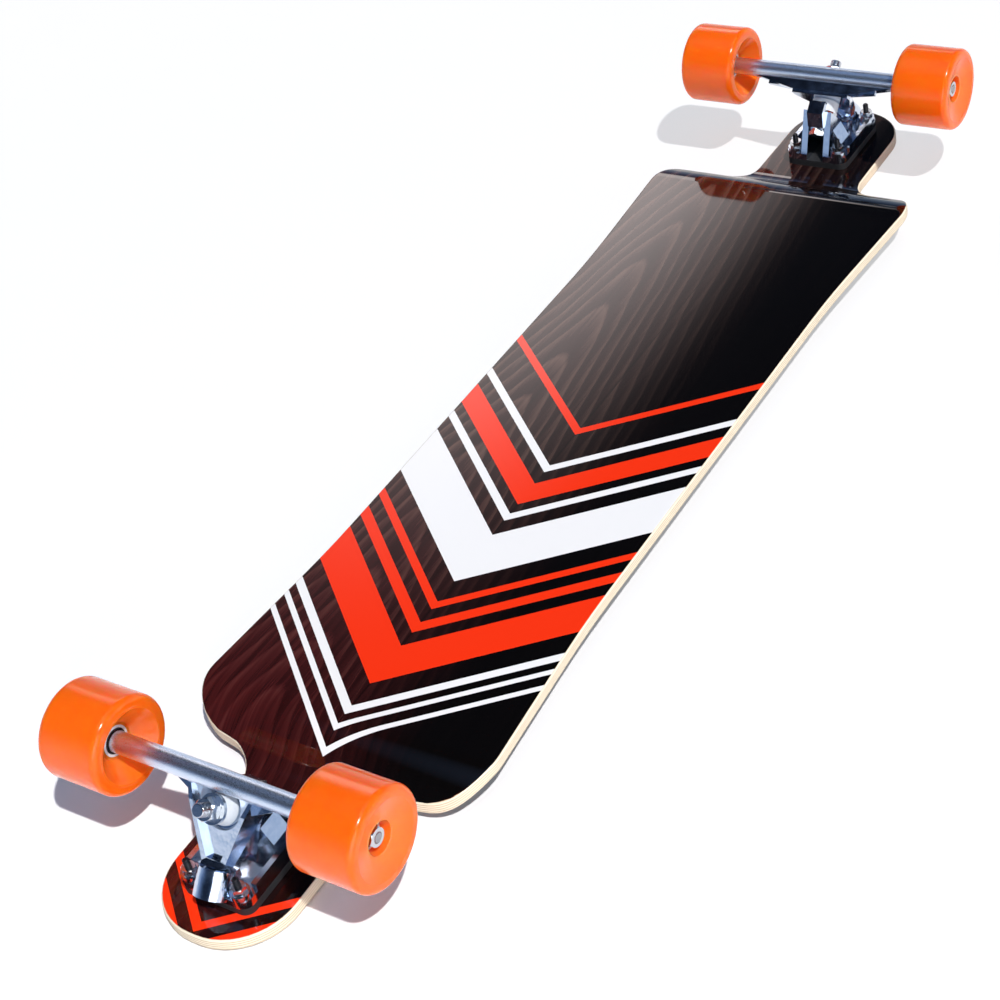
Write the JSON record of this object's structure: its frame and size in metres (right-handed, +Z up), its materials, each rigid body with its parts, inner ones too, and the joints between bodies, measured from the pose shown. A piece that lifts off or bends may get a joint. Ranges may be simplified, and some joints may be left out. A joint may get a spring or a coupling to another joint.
{
  "type": "longboard skateboard",
  "caption": "Drop-deck longboard lying upside down on its deck ends, with sprung leaning trucks and urethane wheels that spin on bearings.",
  "frame": {"origin": "on the ground under the middle of the board, which lies upside down on its two deck ends", "axes": "+X along the board towards its rear end, +Y to the left, +Z up, the way the wheels point"},
  "size_m": [1.041, 0.257, 0.1208],
  "materials": {
    "deck_wood": "clear-coated stained maple plies",
    "grip": "coarse grit",
    "riser": "matte",
    "casting": "polished casting",
    "cup": "moulded",
    "zinc": "zinc plated",
    "steel": "ground",
    "black_steel": "black oxide",
    "bushing": "cast urethane",
    "urethane": "glossy cast urethane",
    "bearing": "polished race, dark shields"
  },
  "bodies": {
    "root": {"deck": "deck_wood", "grip_tape": "grip", "front_riser_pad": "riser", "front_baseplate": "casting", "front_pivot_cup": "cup", "front_kingpin": "zinc", "front_kingpin_nut": "zinc", "front_boardside_bushing": "bushing", "front_roadside_bushing": "bushing", "front_boardside_washer": "zinc", "front_roadside_washer": "zinc", "front_mounting_bolts": "black_steel", "front_mounting_nuts": "zinc", "rear_riser_pad": "riser", "rear_baseplate": "casting", "rear_pivot_cup": "cup", "rear_kingpin": "zinc", "rear_kingpin_nut": "zinc", "rear_boardside_bushing": "bushing", "rear_roadside_bushing": "bushing", "rear_boardside_washer": "zinc", "rear_roadside_washer": "zinc", "rear_mounting_bolts": "black_steel", "rear_mounting_nuts": "zinc"},
    "front_truck": {"front_hanger": "casting", "front_axle": "steel", "front_left_bearing_inner_races": "steel", "front_left_spacer": "steel", "front_left_speed_washers": "steel", "front_left_axle_nut": "zinc", "front_right_bearing_inner_races": "steel", "front_right_spacer": "steel", "front_right_speed_washers": "steel", "front_right_axle_nut": "zinc"},
    "front_left_wheel": {"front_left_wheel": "urethane", "front_left_bearing_outer_races": "bearing"},
    "front_right_wheel": {"front_right_wheel": "urethane", "front_right_bearing_outer_races": "bearing"},
    "rear_truck": {"rear_hanger": "casting", "rear_axle": "steel", "rear_left_bearing_inner_races": "steel", "rear_left_spacer": "steel", "rear_left_speed_washers": "steel", "rear_left_axle_nut": "zinc", "rear_right_bearing_inner_races": "steel", "rear_right_spacer": "steel", "rear_right_speed_washers": "steel", "rear_right_axle_nut": "zinc"},
    "rear_left_wheel": {"rear_left_wheel": "urethane", "rear_left_bearing_outer_races": "bearing"},
    "rear_right_wheel": {"rear_right_wheel": "urethane", "rear_right_bearing_outer_races": "bearing"}
  },
  "joints": [
    {"name": "front_steer", "type": "hinge", "parent": "root", "child": "front_truck", "pos_m": [-0.45488, 0, 0.06272], "axis": [-0.682, 0, -0.7314], "range_deg": [-20, 20], "stiffness_Nm_per_rad": 40, "deforming": ["front_boardside_bushing", "front_roadside_bushing"]},
    {"name": "front_left_spin", "type": "hinge", "parent": "front_truck", "child": "front_left_wheel", "pos_m": [-0.4525, 0.103, 0.0858], "axis": [0, 1, 0], "continuous": true},
    {"name": "front_right_spin", "type": "hinge", "parent": "front_truck", "child": "front_right_wheel", "pos_m": [-0.4525, -0.103, 0.0858], "axis": [0, 1, 0], "continuous": true},
    {"name": "rear_steer", "type": "hinge", "parent": "root", "child": "rear_truck", "pos_m": [0.45488, 0, 0.06272], "axis": [0.682, 0, -0.7314], "range_deg": [-20, 20], "stiffness_Nm_per_rad": 40, "deforming": ["rear_boardside_bushing", "rear_roadside_bushing"]},
    {"name": "rear_left_spin", "type": "hinge", "parent": "rear_truck", "child": "rear_left_wheel", "pos_m": [0.4525, 0.103, 0.0858], "axis": [0, 1, 0], "continuous": true},
    {"name": "rear_right_spin", "type": "hinge", "parent": "rear_truck", "child": "rear_right_wheel", "pos_m": [0.4525, -0.103, 0.0858], "axis": [0, 1, 0], "continuous": true}
  ]
}
